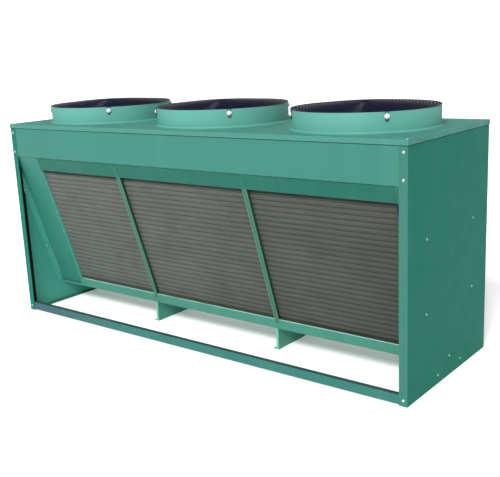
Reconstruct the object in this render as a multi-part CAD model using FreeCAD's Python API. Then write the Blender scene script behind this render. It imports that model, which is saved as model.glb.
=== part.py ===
# Air-cooled condenser: three upright fans over two sloped coils in a sheet-metal cabinet.
# Millimetres. Origin on the floor under the middle of the cabinet, +X along its length,
# -Y the front, +Z up.
import FreeCAD, Part
import os
from math import asin, ceil, cos, degrees, pi, radians, sin, sqrt, tan

V = FreeCAD.Vector
UP = V(0, 0, 1)
AHEAD = V(1, 0, 0)

# Cabinet
length = 2890.0            # outer faces of the end panels
depth = 930.0              # front flange face to rear flange face
body_height = 1255.0       # floor to the lower edge of the lid's flange
sheet = 2.0                # casing steel
thin_sheet = 1.6           # inner sheets and coil closures
bend_radius = 1.5          # inside of every fold
bend_flats = 2             # flats that stand for each fold's curve
seat_gap = 0.3             # between sheets that slide past each other
close_gap = 0.1            # between pieces that sit on each other
hole_reach = 7.0           # of a drill to each side of the sheet that it goes through

# Lid
lid_flange = 25.0
lid_clearance = 0.5        # lid flange to the cabinet
lid_chamfer = 1.2          # stands for the curve of its folds

# End panels and their liners
end_flange = 45.0          # front and rear flanges, turned inward
liner_face = 16.0          # outer face of the end panel to the liner's inner face
liner_inset = 40.0         # front plane to the liner's free edge

# Fascias and base rails
fascia_height = 188.0      # below the lid flange
fascia_return = 30.0
rail_low = 6.0
rail_high = 55.0
rail_depth = 30.0

# Bottom tray
tray_low = 132.0
tray_high = 191.0
tray_end_lip = 13.0        # height of the wall that is left at the tray's ends
tray_inset = 276.0         # front plane to the tray's front wall

# Support legs and anchor holes
leg_flange = 15.0
leg_inset = 284.0
foot_width = 40.0
anchor_radius = 7.0
anchor_in = 22.0           # end panel's outer face to the anchor hole
anchor_back = 18.0         # front plane to the anchor hole
foot_hole_out = 120.0      # mid-depth to each foot hole

baffle_clearance = 8.0     # to the returns of the fascia and the top band

# Coils
slope_deg = 17.0           # coil face from the vertical
face_inset = 275.0         # front plane to the closure plane, at the tray's top
tube_pitch = 31.75
circuit_rows = 4           # tube rows that each refrigerant circuit runs through
band_least = 60.0          # least height of the band over the coil, along the slope
row_pitch = 27.5
rows_deep = 2
rows_hidden = 1            # rows below the tray's edge, and as many under the band
coil_recess = 18.0         # closure plane to the fin edges
fin_ripple = 1.2
header_end = 230.0         # left end panel's outer face to the tube sheet
return_end = 78.0          # right end panel's outer face to the tube sheet
tube_sheet_flange = 20.0
strip_flange = 38.0        # closure strip's flange along the liner

# Dividers
divider_width = 30.0
divider_top_gap = 20.0     # under the fascia
divider_tab = 22.0         # length that hangs over the tray wall
divider_leg_low = 17.5     # tray's edge to the foot of the legs on the fins

# Copper
tube_radius = 4.76
pipe_sides = 12            # flats that stand for a round pipe
bend_sides = 4             # flats round a return bend or feeder, where many repeat
bend_steps = 3             # and along it
gas_radius = 17.45
liquid_radius = 11.1
tube_wall = 1.6            # step in radius from a stub to its cross pipe and on to its headers
gas_header_in = 120.0      # end panel's outer face to the gas header's axis
liquid_header_in = 180.0
gas_stub_drop = 137.0      # fascia's lower edge to the gas stub
liquid_stub_rise = 71.0    # tray's edge to the liquid stub
stub_out = 60.0            # end of a stub beyond the end panel
stub_chamfer = 4.0
bead_out = 12.0            # end panel to the bead
bead_size = 4.0            # its width, and its height over the stub
grommet_wall = 3.0
grommet_lip = 5.0
gland_radius = 12.0
gland_drop = 85.0          # lid flange to the gland's axis
gland_flats = 36.0
gland_nut = 4.0
gland_body = 8.0           # length of the gland's hexagon, and of the plug in it

# Fans
fan_count = 3
ring_radius = 388.0        # outside of the venturi ring
ring_height = 104.0        # above the lid
ring_bell = 8.0            # bell-mouth radius
ring_land = 14.0           # flat of the ring's flange on the lid
ring_sides = 40            # flats that stand for its round
blade_count = 4
tip_clearance = 5.0
fan_rise = 32.0            # lid to the middle of the blades
root_radius = 88.0
root_chord = 150.0
root_pitch = 35.0
tip_chord = 200.0
tip_pitch = 22.0
blade_thickness = 2.5
blade_camber = 0.09        # sagitta as a share of the chord
blade_spans = 6            # flats across a blade
arm_spans = 2              # of them, over each arm of the hub
arm_reach = 150.0
arm_thickness = 3.5
hub_radius = 27.0
hub_height = 36.0

# Guards
wire = 5.0
guard_rings = 8
guard_flat = 130.0         # widest radius for each eight flats of a ring
guard_eye = 30.0           # radius of the innermost ring
guard_dome = 20.0
guard_spokes = 8
leg_count = 4
leg_loop = 14.0            # between the middles of a leg's two wires
leg_wire = 4.0
bolt_drop = 22.0           # rim to the guard bolt's axis
bolt_radius = 4.0
washer_radius = 12.0
washer_thickness = 2.0
washer_sides = 8

# Motors
motor_radius = 80.0
motor_sides = 16           # flats that stand for the shell's round
motor_shoulder = 28.0      # width and height of the end bell's slope
motor_base_half = 86.0     # half the square base flange
motor_base_corner = 24.0
motor_base = 8.0
motor_height = 158.0       # base to the top of the end bell
motor_boss = 12.0
boss_radius = 22.0
shaft_radius = 7.9375
shaft_clearance = 0.05
shaft_stand = 15.0         # top of the hub to the end of the shaft
motor_bore = 122.0
motor_rail_height = 40.0
motor_rail_width = 25.0
motor_rail_out = 75.0
motor_plate = 3.0
motor_bolt_radius = 4.0
motor_bolt_out = 72.0      # shaft to each motor bolt along the rails
motor_bolt_shift = 14.0    # less than that across them, to clear the rails' webs
nut_flats = 13.0
nut_height = 6.5

# Sheet screws
screw_flats = 12.0
screw_height = 4.5
screw_in = 22.0            # end of a face to its screws
lid_screw_in = 10.0
fascia_screw_edge = 31.0   # from the fascia's upper and lower edges
end_screw_out = 270.0      # mid-depth to the outer screws on an end panel
end_screw_shares = (0.627, 0.328)        # of the body height
tray_screw_out = 133.0
tray_screw_z = 48.0
middle_screw_z = 109.0
strip_screw_shares = (0.663, 0.335)
strip_screw_out = 24.0     # closure plane to the screws in the strips' flanges

# Derived places
left = -length / 2
front = -depth / 2
lid_top = body_height + lid_flange
lid_under = lid_top - sheet
rim = lid_top + ring_height
fan_pitch = length / fan_count
fan_places = [left + fan_pitch * (i + 0.5) for i in range(fan_count)]
divider_places = [left + fan_pitch * i for i in range(1, fan_count)]
slope = radians(slope_deg)
face_y = front + face_inset
fascia_low = body_height - fascia_height
most_rows = ((fascia_low - tray_high) / cos(slope) - band_least) / tube_pitch + 2 * rows_hidden
tube_rows = int(most_rows / circuit_rows) * circuit_rows
coil_depth = row_pitch * rows_deep
coil_height = tube_pitch * tube_rows
coil_low = -tube_pitch * rows_hidden
coil_high = coil_low + coil_height
shown_height = coil_height - 2 * rows_hidden * tube_pitch
sheet_left = left + header_end           # outer face of the left tube sheet
sheet_right = -left - return_end         # outer face of the right tube sheet
fins_left = sheet_left + sheet
fins_right = sheet_right - sheet
gas_stub_z = fascia_low - gas_stub_drop
liquid_stub_z = tray_high + liquid_stub_rise
gland_z = body_height - gland_drop
ring_inner = ring_radius - sheet
ring_flat = ring_inner * cos(pi / ring_sides)    # shaft to the middle of the ring's inner flats
lid_opening = ring_radius + ring_bell
fan_radius = ring_inner - tip_clearance
fan_z = lid_top + fan_rise
shaft_top = fan_z + hub_height / 2 + shaft_stand
motor_floor = fascia_low + sheet + motor_rail_height + motor_plate
motor_top = motor_floor + motor_height
slack = 2000.0                           # reach of cutting tools beyond the part


# Shape helpers
def box(x0, x1, y0, y1, z0, z1):
    return Part.makeBox(x1 - x0, y1 - y0, z1 - z0, V(x0, y0, z0))


def prism(points, direction):
    """Solid swept from a flat outline."""
    return Part.Face(Part.makePolygon(points + points[:1])).extrude(direction)


def folded_outline(points, thickness):
    """Outline of a folded sheet: its mid-line runs through the points, and each bend is a few flats."""
    path = [V(u, v, 0) for u, v in points]
    mid = bend_radius + thickness / 2
    ahead = (path[1] - path[0]).normalize()
    stations = [(path[0], ahead)]
    for corner, after in zip(path[1:], path[2:]):
        then = (after - corner).normalize()
        angle = ahead.getAngle(then)
        side = 1 if ahead.cross(then).z > 0 else -1
        start = corner - ahead * (mid * tan(angle / 2))
        centre = start + UP.cross(ahead) * (side * mid)
        for i in range(bend_flats + 1):
            turn = FreeCAD.Rotation(UP, side * degrees(angle) * i / bend_flats)
            stations.append((centre + turn.multVec(start - centre), turn.multVec(ahead)))
        ahead = then
    stations.append((path[-1], ahead))
    edges = [[p + UP.cross(d) * (s * thickness / 2) for p, d in stations] for s in (1, -1)]
    return edges[0] + edges[1][::-1]


def sheet_along_x(points, x0, x1, thickness=sheet):
    """Folded sheet with its section in (y, z)."""
    return prism([V(x0, p.x, p.y) for p in folded_outline(points, thickness)], V(x1 - x0, 0, 0))


def sheet_along_y(points, y0, y1, thickness=sheet):
    """Folded sheet with its section in (x, z)."""
    return prism([V(p.x, y0, p.y) for p in folded_outline(points, thickness)], V(0, y1 - y0, 0))


def sheet_along_z(points, z0, z1, thickness=sheet):
    """Folded sheet with its section in (x, y)."""
    return prism([V(p.x, p.y, z0) for p in folded_outline(points, thickness)], V(0, 0, z1 - z0))


def turned(profile, sides):
    """Closed profile of (radius, z) points swept round the upright axis in flats."""
    turns = [2 * pi * i / sides for i in range(sides + 1)]
    faces = []
    for (r0, z0), (r1, z1) in zip(profile, profile[1:] + profile[:1]):
        for a, b in zip(turns, turns[1:]):
            near = [V(r0 * cos(t), r0 * sin(t), z0) for t in ((a, b) if r0 else (a,))]
            far = [V(r1 * cos(t), r1 * sin(t), z1) for t in ((b, a) if r1 else (a,))]
            corners = near + far
            if len(corners) > 2:
                faces.append(Part.Face(Part.makePolygon(corners + corners[:1])))
    return Part.makeSolid(Part.makeShell(faces)).removeSplitter()


def cylinder(radius, height, base, axis=UP):
    return Part.makeCylinder(radius, height, base, axis)


def drill(radius, place, axis=UP):
    """Round cutter through the sheet at a place."""
    return cylinder(radius, 2 * hole_reach, place - axis * hole_reach, axis)


def rod(corner_radius, height, base, axis=UP, sides=6):
    """Prism with flats for a bar, bolt shank, head or nut, standing on the base point."""
    turns = [2 * pi * i / sides for i in range(sides)]
    solid = prism([V(corner_radius * cos(t), corner_radius * sin(t), 0) for t in turns], UP * height)
    solid.Placement = FreeCAD.Placement(base, FreeCAD.Rotation(UP, axis))
    return solid


def hexagon(across_flats, height, base, axis=UP):
    return rod(across_flats / sqrt(3), height, base, axis)


def round_rod(radius, height, base, axis=UP, sides=pipe_sides):
    """A round bar of the same section area, in flats."""
    corner = radius * sqrt(2 * pi / (sides * sin(2 * pi / sides)))
    return rod(corner, height, base, axis, sides)


def skinned(sections):
    """Solid over matching outlines, in triangles between each two."""
    faces = [Part.Face(Part.makePolygon(s + s[:1])) for s in (sections[0], sections[-1])]
    for near, far in zip(sections, sections[1:]):
        for i, corner in enumerate(near):
            after = (i + 1) % len(near)
            faces.append(Part.Face(Part.makePolygon([corner, near[after], far[after], corner])))
            faces.append(Part.Face(Part.makePolygon([corner, far[after], far[i], corner])))
    return Part.makeSolid(Part.makeShell(faces))


def joined(first, *others):
    return first.fuse(list(others)).removeSplitter()


def mirrored_x(shape):
    return shape.mirror(V(0, 0, 0), V(1, 0, 0))


def mirrored_y(shape):
    return shape.mirror(V(0, 0, 0), V(0, 1, 0))


def on_slope(shape):
    """Moves a shape from the coil's own frame (x, y into the coil, z up its face) to the front coil."""
    moved = shape.copy()
    moved.rotate(V(0, 0, 0), V(1, 0, 0), slope_deg)
    moved.translate(V(0, face_y, tray_high))
    return moved


def slope_yz(y, z):
    """Place in (y, z) of a point of the front coil's own frame."""
    return face_y + y * cos(slope) - z * sin(slope), tray_high + y * sin(slope) + z * cos(slope)


def slope_y_at(y, world_z):
    """Where the plane at depth y in the coil's frame stands at a height above the floor."""
    z = (world_z - tray_high - y * sin(slope)) / cos(slope)
    return slope_yz(y, z)[0]


def save(name, *solids):
    shape = solids[0] if len(solids) == 1 else Part.makeCompound(list(solids))
    shape.exportStep("parts/" + name + ".step")


# Cabinet sheets
def end_panel():
    """Left end panel: a tall sheet with flanges turned in on all four sides."""
    inner = left + end_flange
    mid_x = left + sheet / 2
    mid_y = front + sheet / 2
    web = sheet_along_z([(inner, mid_y), (mid_x, mid_y), (mid_x, -mid_y), (inner, -mid_y)], 0, lid_under)
    free = depth / 2 - liner_inset
    foot = box(mid_x, inner, front + sheet / 2, -front - sheet / 2, 0, sheet)
    head = box(mid_x, inner, -free, free, lid_under - sheet, lid_under)
    panel = joined(web, foot, head)
    return panel.cut([drill(anchor_radius, V(left + anchor_in, y, sheet / 2)) for y in anchor_rows()])


def anchor_rows():
    return front + anchor_back, -front - anchor_back


def with_pipe_holes(panel, clearance):
    """The left end's sheets let both stubs and the cable gland through."""
    reach = liner_face + 2 * sheet
    start = V(left - sheet, 0, 0)
    places = ((gas_radius, gas_stub_z), (liquid_radius, liquid_stub_z), (gland_radius, gland_z))
    return panel.cut([rod(r + clearance, reach, start + UP * z, AHEAD, pipe_sides) for r, z in places])


def end_liner():
    """Left liner: a flat sheet held off the end panel by a return at its top and bottom."""
    low = sheet + thin_sheet / 2
    high = lid_under - sheet - thin_sheet / 2
    near = left + sheet
    far = left + liner_face - thin_sheet / 2
    free = depth / 2 - liner_inset
    return sheet_along_y([(near, low), (far, low), (far, high), (near, high)], -free, free, thin_sheet)


def top_panel():
    """Lid: a pan with its flange outside the cabinet and a round opening for each fan."""
    x = length / 2 + lid_clearance
    y = depth / 2 + lid_clearance
    outer = box(-x - sheet, x + sheet, -y - sheet, y + sheet, body_height, lid_top)
    outer = outer.makeChamfer(lid_chamfer, [e for e in outer.Edges if e.BoundBox.ZMax > lid_top - close_gap])
    pan = outer.cut(box(-x, x, -y, y, body_height - sheet, lid_under))
    low = lid_top - hole_reach
    return pan.cut([rod(lid_opening, 2 * hole_reach, V(fx, 0, low), UP, ring_sides) for fx in fan_places])


def fascia():
    """Front fascia: a channel behind the end panels' flanges, its returns turned in."""
    y = front + 1.5 * sheet
    back = y + fascia_return - sheet / 2
    z0 = fascia_low + sheet / 2
    z1 = lid_under - sheet / 2
    reach = length / 2 - sheet - bend_radius
    return sheet_along_x([(back, z1), (y, z1), (y, z0), (back, z0)], -reach, reach)


def base_rail():
    """Front base rail: a channel along the floor, drilled with the end panels for the anchors."""
    y = front + 1.5 * sheet
    back = y + rail_depth - sheet / 2
    z0 = rail_low + sheet / 2
    z1 = rail_high - sheet / 2
    reach = length / 2 - sheet - bend_radius
    rail = sheet_along_x([(back, z1), (y, z1), (y, z0), (back, z0)], -reach, reach)
    x = length / 2 - anchor_in
    return rail.cut([drill(anchor_radius, V(s, anchor_rows()[0], z0)) for s in (-x, x)])


def bottom_tray():
    """Tray under both coils, its walls cut down at the ends for the closure strips."""
    y = tray_inset + front + sheet / 2
    z0 = tray_low + sheet / 2
    reach = length / 2 - liner_face - seat_gap
    tray = sheet_along_x([(y, tray_high), (y, z0), (-y, z0), (-y, tray_high)], -reach, reach)
    cut_z = tray_low + tray_end_lip
    ends = [box(-slack, sheet_left + seat_gap, -slack, slack, cut_z, slack)]
    ends.append(box(sheet_right - seat_gap, slack, -slack, slack, cut_z, slack))
    return tray.cut(ends)


def support_leg(x):
    """Intermediate leg under the tray, flanged on every edge, with anchor holes in its foot."""
    y = leg_inset + front + sheet / 2
    mid = x - sheet / 2
    web = sheet_along_z([(x - leg_flange, y), (mid, y), (mid, -y), (x - leg_flange, -y)], 0, tray_low)
    inside = -y - sheet
    foot = box(x - foot_width, mid, -inside, inside, 0, sheet)
    head = box(x - foot_width, mid, -inside, inside, tray_low - sheet, tray_low)
    hole_x = x - sheet - (foot_width - sheet) / 2
    holes = [drill(anchor_radius, V(hole_x, s * foot_hole_out, 0)) for s in (-1, 1)]
    return joined(web, foot, head).cut(holes)


def baffle(x):
    """Plate that parts two fan sections: it fills the space between the coils and hangs from the lid."""
    half = thin_sheet / 2
    y_fascia = front + 2 * sheet + bend_radius
    y_return = front + sheet + fascia_return + baffle_clearance
    z_return = fascia_low + sheet + bend_radius
    z_coil = slope_yz(coil_recess + coil_depth, coil_high)[1] + seat_gap
    z_tray = tray_low + sheet + seat_gap
    z_top = lid_under - sheet - seat_gap
    back = coil_recess + coil_depth + seat_gap
    side = [(y_fascia, z_top), (y_fascia, z_return), (y_return, z_return), (y_return, z_coil),
            (slope_y_at(back, z_coil), z_coil), (slope_y_at(back, z_tray), z_tray)]
    outline = side + [(-y, z) for y, z in reversed(side)]
    plate = prism([V(x - half, y, z) for y, z in outline], V(thin_sheet, 0, 0))
    free = -(y_return + sheet)
    rise = box(x - half, x + half, -free, free, z_top - sheet, lid_under)
    head = box(x - half, x + leg_flange, -free, free, lid_under - thin_sheet, lid_under)
    return joined(plate, rise, head)


# Coil closures
def coil_top_band():
    """Blanking sheet from the fascia down to the top of the coil, with a lip back to the fins."""
    half = thin_sheet / 2
    top_z = fascia_low - half
    top_y = slope_y_at(half, top_z)
    low_y, low_z = slope_yz(half, shown_height + half)
    lip_y, lip_z = slope_yz(coil_recess, shown_height + half)
    points = [(lip_y, lip_z), (low_y, low_z), (top_y, top_z), (top_y + fascia_return, top_z)]
    return sheet_along_x(points, sheet_left + seat_gap, sheet_right - seat_gap, thin_sheet)


def closure_strip(wall, coil):
    """Sheet that closes the end of a coil, from the liner's face at wall to its lip on the tube sheet."""
    half = thin_sheet / 2
    toward = 1 if coil > wall else -1
    points = [(wall + toward * half, -strip_flange), (wall + toward * half, half),
              (coil - toward * half, half), (coil - toward * half, coil_recess)]
    strip = on_slope(sheet_along_z(points, -slack, slack, thin_sheet))
    strip = strip.common(box(-slack, slack, -slack, slack, tray_low + sheet, fascia_low))
    ends = sorted((wall, wall + toward * 2 * thin_sheet))
    free_edge = box(*ends, -slack, front + liner_inset, 0, lid_top)
    lip_y = front + tray_inset + sheet + bend_radius + seat_gap
    notch = box(-slack, slack, -slack, lip_y, 0, tray_low + tray_end_lip + seat_gap)
    return strip.cut([free_edge, notch])


def divider(x):
    """Channel over the coil face: its web lies on the band and laps the tray, its legs stand on the fins."""
    half = thin_sheet / 2
    x0 = x - divider_width / 2
    top_y, top_z = slope_y_at(-half, fascia_low - divider_top_gap), fascia_low - divider_top_gap
    lap_y = front + tray_inset - half
    lap_z = tray_high + (slope_y_at(-half, tray_high) - lap_y) / tan(slope)
    points = [(top_y, top_z), (lap_y, lap_z), (lap_y, lap_z - divider_tab)]
    web = sheet_along_x(points, x0, x0 + divider_width, thin_sheet)
    legs = [on_slope(box(s, s + thin_sheet, -half, coil_recess, divider_leg_low, shown_height - seat_gap))
            for s in (x0, x0 + divider_width - thin_sheet)]
    return joined(web, *legs)


# Coils
def fin_block():
    """Fin pack of the front coil, in one piece, its edges rippled once for each tube row."""
    face, back = [], []
    for i in range(2 * tube_rows + 1):
        z = coil_low + tube_pitch * i / 2
        dip = 0 if i % 2 else fin_ripple
        face.append(V(fins_left, coil_recess + dip, z))
        back.append(V(fins_left, coil_recess + coil_depth - dip, z))
    return on_slope(prism(face + back[::-1], AHEAD * (fins_right - fins_left)))


def tube_sheet(x, toward):
    """End plate of a coil: a channel whose flanges turn away from the fins, standing in the tray."""
    mid = x - toward * sheet / 2
    tip = x + toward * tube_sheet_flange
    y0 = coil_recess + sheet / 2
    y1 = coil_recess + coil_depth - sheet / 2
    plate = on_slope(sheet_along_z([(tip, y0), (mid, y0), (mid, y1), (tip, y1)], -slack, coil_high))
    return plate.common(box(-slack, slack, -slack, slack, tray_low + sheet, lid_under))


def row_y(row):
    return coil_recess + row_pitch * (row + 0.5)


def tube_z(i):
    return coil_low + tube_pitch * (i + 0.5)


def return_bend(x, toward, first, second):
    """U-bend from the tube sheet's outer face, between two tubes at (y, z) places."""
    start = V(0, first[0], first[1])
    half = (V(0, second[0], second[1]) - start) * 0.5
    reach = half.Length
    out = V(toward, 0, 0)
    across = (half * (1 / reach)).cross(out)
    centre = V(x, 0, 0) + start + half
    rings = []
    for step in range(bend_steps + 1):
        turn = FreeCAD.Rotation(across, -180.0 * step / bend_steps)
        ring = []
        for k in range(bend_sides):
            side = 2 * pi * (k + 0.5) / bend_sides
            at = half * (-1 - tube_radius * cos(side) / reach) + across * (tube_radius * sin(side))
            ring.append(centre + turn.multVec(at))
        rings.append(ring)
    return skinned(rings).removeSplitter()


def circuit_starts():
    """Lowest tube of each circuit: liquid leaves there in the first row and gas enters there in the last."""
    return range(0, tube_rows, circuit_rows)


def return_bends():
    """All bends of the front coil: pairs at the right end, and at the left the ones between pairs."""
    bends = []
    for first in circuit_starts():
        last = first + circuit_rows - 1
        for y in (row_y(row) for row in range(rows_deep)):
            for i in range(first, last, 2):
                bends.append(return_bend(sheet_right, 1, (y, tube_z(i)), (y, tube_z(i + 1))))
            for i in range(first + 1, last, 2):
                bends.append(return_bend(sheet_left, -1, (y, tube_z(i)), (y, tube_z(i + 1))))
        turn_z = tube_z(last)
        for row in range(rows_deep - 1):
            bends.append(return_bend(sheet_left, -1, (row_y(row), turn_z), (row_y(row + 1), turn_z)))
    return [on_slope(b) for b in bends]


def header(radius, x_in, row):
    """Sloped header of the front coil with a feeder to each circuit, brazed into one piece."""
    x = left + x_in
    y = row_y(row)
    tubes = circuit_starts()
    low, high = tube_z(tubes[0]) - 2 * radius, tube_z(tubes[-1]) + 2 * radius
    body = round_rod(radius, high - low, V(x, y, low))
    feeders = [rod(tube_radius, sheet_left - x, V(x, y, tube_z(i)), AHEAD, bend_sides) for i in tubes]
    return on_slope(body.fuse(feeders))


def manifold(radius, x_in, row, z):
    """Both headers, the pipe between them and the closed stub, each brazed to the next."""
    x = left + x_in
    front_header = header(radius + 2 * tube_wall, x_in, row)
    headers = [front_header, mirrored_y(front_header)]
    y = slope_y_at(row_y(row), z)
    cross = round_rod(radius + tube_wall, -2 * y, V(x, y, z), V(0, 1, 0)).cut(headers)
    stub = cylinder(radius, x - left + stub_out, V(left - stub_out, 0, z), AHEAD)
    stub = stub.makeChamfer(stub_chamfer, [e for e in stub.Edges if e.BoundBox.XMax < left])
    bead = rod(radius + bead_size, bead_size, V(left - bead_out - bead_size, 0, z), AHEAD, pipe_sides)
    return headers + [cross, stub.fuse(bead).cut(cross)]


def grommet(radius, z):
    """Rubber ring in the end panel's hole, grooved for the sheet."""
    hole = radius + grommet_wall - close_gap
    outer = left - close_gap
    inner = left + sheet + close_gap
    ring = rod(hole, inner - outer, V(outer, 0, z), AHEAD, pipe_sides)
    lips = [rod(hole + grommet_lip, grommet_wall, V(x, 0, z), AHEAD, pipe_sides)
            for x in (outer - grommet_wall, inner)]
    bore = (radius + close_gap) / cos(pi / pipe_sides)
    return ring.fuse(lips).cut(rod(bore, 2 * hole_reach, V(left - hole_reach, 0, z), AHEAD, pipe_sides))


def cable_gland():
    """Gland for the motors' supply, closed by its blanking plug, with a lock nut behind the sheet."""
    thread = gland_radius + grommet_wall - close_gap
    start = V(left, 0, gland_z)
    body = hexagon(gland_flats, gland_body, start - AHEAD * gland_body, AHEAD)
    plug = round_rod(gland_radius, gland_body, start - AHEAD * 2 * gland_body, AHEAD)
    neck = rod(thread, sheet + gland_nut, start, AHEAD, pipe_sides)
    nut = hexagon(gland_flats, gland_nut, start + AHEAD * sheet, AHEAD)
    return body.fuse([plug, neck, nut])


# Fans
def venturi_ring(x):
    """Spun ring: a flat flange on the lid, a flared foot and a straight wall with bolt holes."""
    top = lid_top + sheet
    points = [(lid_opening + ring_land, lid_top), (lid_opening + ring_land, top), (lid_opening, top),
              (ring_radius, top + ring_bell), (ring_radius, rim), (ring_inner, rim),
              (ring_inner, top + ring_bell - sheet / 2), (lid_opening - sheet / 2, lid_top)]
    ring = turned(points, ring_sides)
    ring = ring.cut([bolt_rod(a, bolt_radius + seat_gap, ring_inner - hole_reach, 2 * hole_reach)
                     for a in leg_angles()])
    ring.translate(V(x, 0, 0))
    return ring


def leg_angles():
    return [360.0 / leg_count * (i + 0.5) for i in range(leg_count)]


def radial(angle):
    return V(cos(radians(angle)), sin(radians(angle)), 0)


def bolt_rod(angle, radius, start, reach):
    out = radial(angle)
    return rod(radius, reach, out * start + UP * (rim - bolt_drop), out)


def guard_radii():
    """Middle of each ring's wire, from the eye out to the rim."""
    outer = ring_radius - sheet / 2
    step = (outer - guard_eye) / (guard_rings - 1)
    return [guard_eye + step * i for i in range(guard_rings)]


def dome_z(radius):
    """Underside of the ring wires over a shallow dome."""
    share = (radius - guard_eye) / (guard_radii()[-1] - guard_eye)
    return rim + guard_dome * (1 - share * share)


def wire_ring(radius, z):
    """Ring of square wire in flats, lying on a height, with a corner over every spoke and leg."""
    inner, outer = radius - wire / 2, radius + wire / 2
    profile = [(inner, z), (outer, z), (outer, z + wire), (inner, z + wire)]
    return turned(profile, guard_spokes * ceil(radius / guard_flat))


def guard_spoke(angle):
    """Radial wire under the rings: it climbs the dome from the rim in straight stretches."""
    reach = guard_radii()[::2]
    reach.append(ring_inner - seat_gap)
    low = [V(r, -wire / 2, dome_z(r) - spoke_drop()) for r in reach]
    high = [p - UP * wire for p in reversed(low)]
    spoke = prism(low + high, V(0, wire, 0))
    spoke.rotate(V(0, 0, 0), UP, angle)
    return spoke


def spoke_drop():
    """Keeps a spoke just under the rings, which lie flat across the slope of the dome."""
    steepest = 2 * guard_dome / (ring_radius - guard_eye)
    return steepest * wire / 2 + close_gap


def fan_guard(x):
    """Welded wire guard: rings over radial spokes, and four loops that hook down outside the ring."""
    solids = [wire_ring(r, dome_z(r)) for r in guard_radii()]
    solids += [guard_spoke(360.0 / guard_spokes * k) for k in range(guard_spokes)]
    solids += [guard_leg(a) for a in leg_angles()]
    for s in solids:
        s.translate(V(x, 0, 0))
    return solids


def guard_leg(angle):
    """Wire loop round a guard bolt, from the underside of the guard's outer ring."""
    low = rim - bolt_drop - washer_radius - leg_wire
    inner, outer = (leg_loop - leg_wire) / 2, (leg_loop + leg_wire) / 2
    bend = low + leg_wire
    points = [(-outer, rim), (-outer, low), (outer, low), (outer, rim)]
    points += [(inner, rim), (inner, bend), (-inner, bend), (-inner, rim)]
    leg = prism([V(ring_radius + seat_gap, u, v) for u, v in points], AHEAD * leg_wire)
    leg.rotate(V(0, 0, 0), UP, angle)
    return leg


def guard_bolt(x, angle):
    """Bolt, washer and nut that hold one loop against the venturi ring."""
    seat = ring_radius + seat_gap + leg_wire
    nut_end = ring_flat - seat_gap - nut_height
    out = radial(angle)
    middle = V(x, 0, rim - bolt_drop)
    shank = rod(bolt_radius, seat - nut_end, middle + out * nut_end, out)
    washer = round_rod(washer_radius, washer_thickness, middle + out * seat, out, washer_sides)
    head = hexagon(nut_flats, nut_height, middle + out * (seat + washer_thickness), out)
    nut = hexagon(nut_flats, nut_height, middle + out * nut_end, out)
    return shank.fuse([washer, head, nut])


def plate_section(radius, spans, thickness, drop):
    """Outline of a curved plate square to the radius, over the middle spans of the blade's arc."""
    chord, pitch = along_blade(radius)
    lean = radians(pitch)
    along = V(0, cos(lean), sin(lean))
    normal = V(0, -sin(lean), cos(lean))
    bend = chord * (1 / (8 * blade_camber) + blade_camber / 2)
    span = 2 * asin(chord / 2 / bend) / blade_spans
    low = []
    high = []
    for i in range(spans + 1):
        t = span * (i - spans / 2)
        place = V(radius, 0, 0) + along * (bend * sin(t)) + normal * (bend * (cos(t) - 1) - drop)
        low.append(place)
        high.append(place + normal * thickness)
    return low + high[::-1]


def along_blade(radius):
    """Chord and pitch at a radius."""
    share = (radius - root_radius) / (fan_radius - root_radius)
    return root_chord + (tip_chord - root_chord) * share, root_pitch + (tip_pitch - root_pitch) * share


def blade_shape():
    """One twisted blade along +X about the fan's middle, trimmed to the fan's circle."""
    stations = [root_radius, (root_radius + fan_radius) / 2, fan_radius]
    solid = skinned([plate_section(r, blade_spans, blade_thickness, 0) for r in stations])
    return solid.common(rod(fan_radius, 2 * tip_chord, UP * -tip_chord, UP, ring_sides))


def fan_blades(x):
    shape = blade_shape()
    return [at_fan(shape, x, k) for k in range(blade_count)]


def at_fan(shape, x, index):
    solid = shape.copy()
    solid.rotate(V(0, 0, 0), UP, 360.0 / blade_count * index)
    solid.translate(V(x, 0, fan_z))
    return solid


def fan_hub(x):
    """Spider: a bored boss with a twisted arm that follows the underside of each blade."""
    reach = (hub_radius / 2, root_radius, arm_reach)
    arm = skinned([plate_section(r, arm_spans, arm_thickness, arm_thickness) for r in reach])
    seat = blade_shape()
    seat.translate(UP * -seat_gap)
    arm = arm.cut(seat)
    boss = at_fan(round_rod(hub_radius, hub_height, UP * (-hub_height / 2)), x, 0)
    bore = at_fan(cylinder(shaft_radius + shaft_clearance / 2, 2 * hub_height, UP * -hub_height), x, 0)
    return boss.fuse([at_fan(arm, x, k) for k in range(blade_count)]).cut(bore)


# Motors
def motor_mount(x):
    """Two channels across the cabinet on the fascias' returns, with the plate that they carry."""
    low = fascia_low + sheet
    high = low + motor_rail_height
    reach = depth / 2 - 2 * sheet - bend_radius
    rails = []
    for s in (-1, 1):
        mid = s * motor_rail_out
        tip = mid + s * motor_rail_width
        z0, z1 = low + sheet / 2, high - sheet / 2
        rails.append(sheet_along_y([(tip, z0), (mid, z0), (mid, z1), (tip, z1)], -reach, reach))
    half = motor_base_half
    wide = motor_rail_out + motor_rail_width
    plate = box(-wide, wide, -half, half, high, high + motor_plate)
    mount = plate.fuse(rails).cut(motor_bolt_holes())
    mount.translate(V(x, 0, 0))
    return mount


def motor_bolt_places(x):
    """Tops of the plate at each motor bolt."""
    out = motor_bolt_out
    return [V(x + sx * (out - motor_bolt_shift), sy * out, motor_floor) for sx in (-1, 1) for sy in (-1, 1)]


def motor_bolt_holes():
    """Cutters through the plate and the motor's flange."""
    radius = motor_bolt_radius + seat_gap
    return [rod(radius, 4 * motor_base, p - UP * 2 * motor_base) for p in motor_bolt_places(0)]


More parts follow.
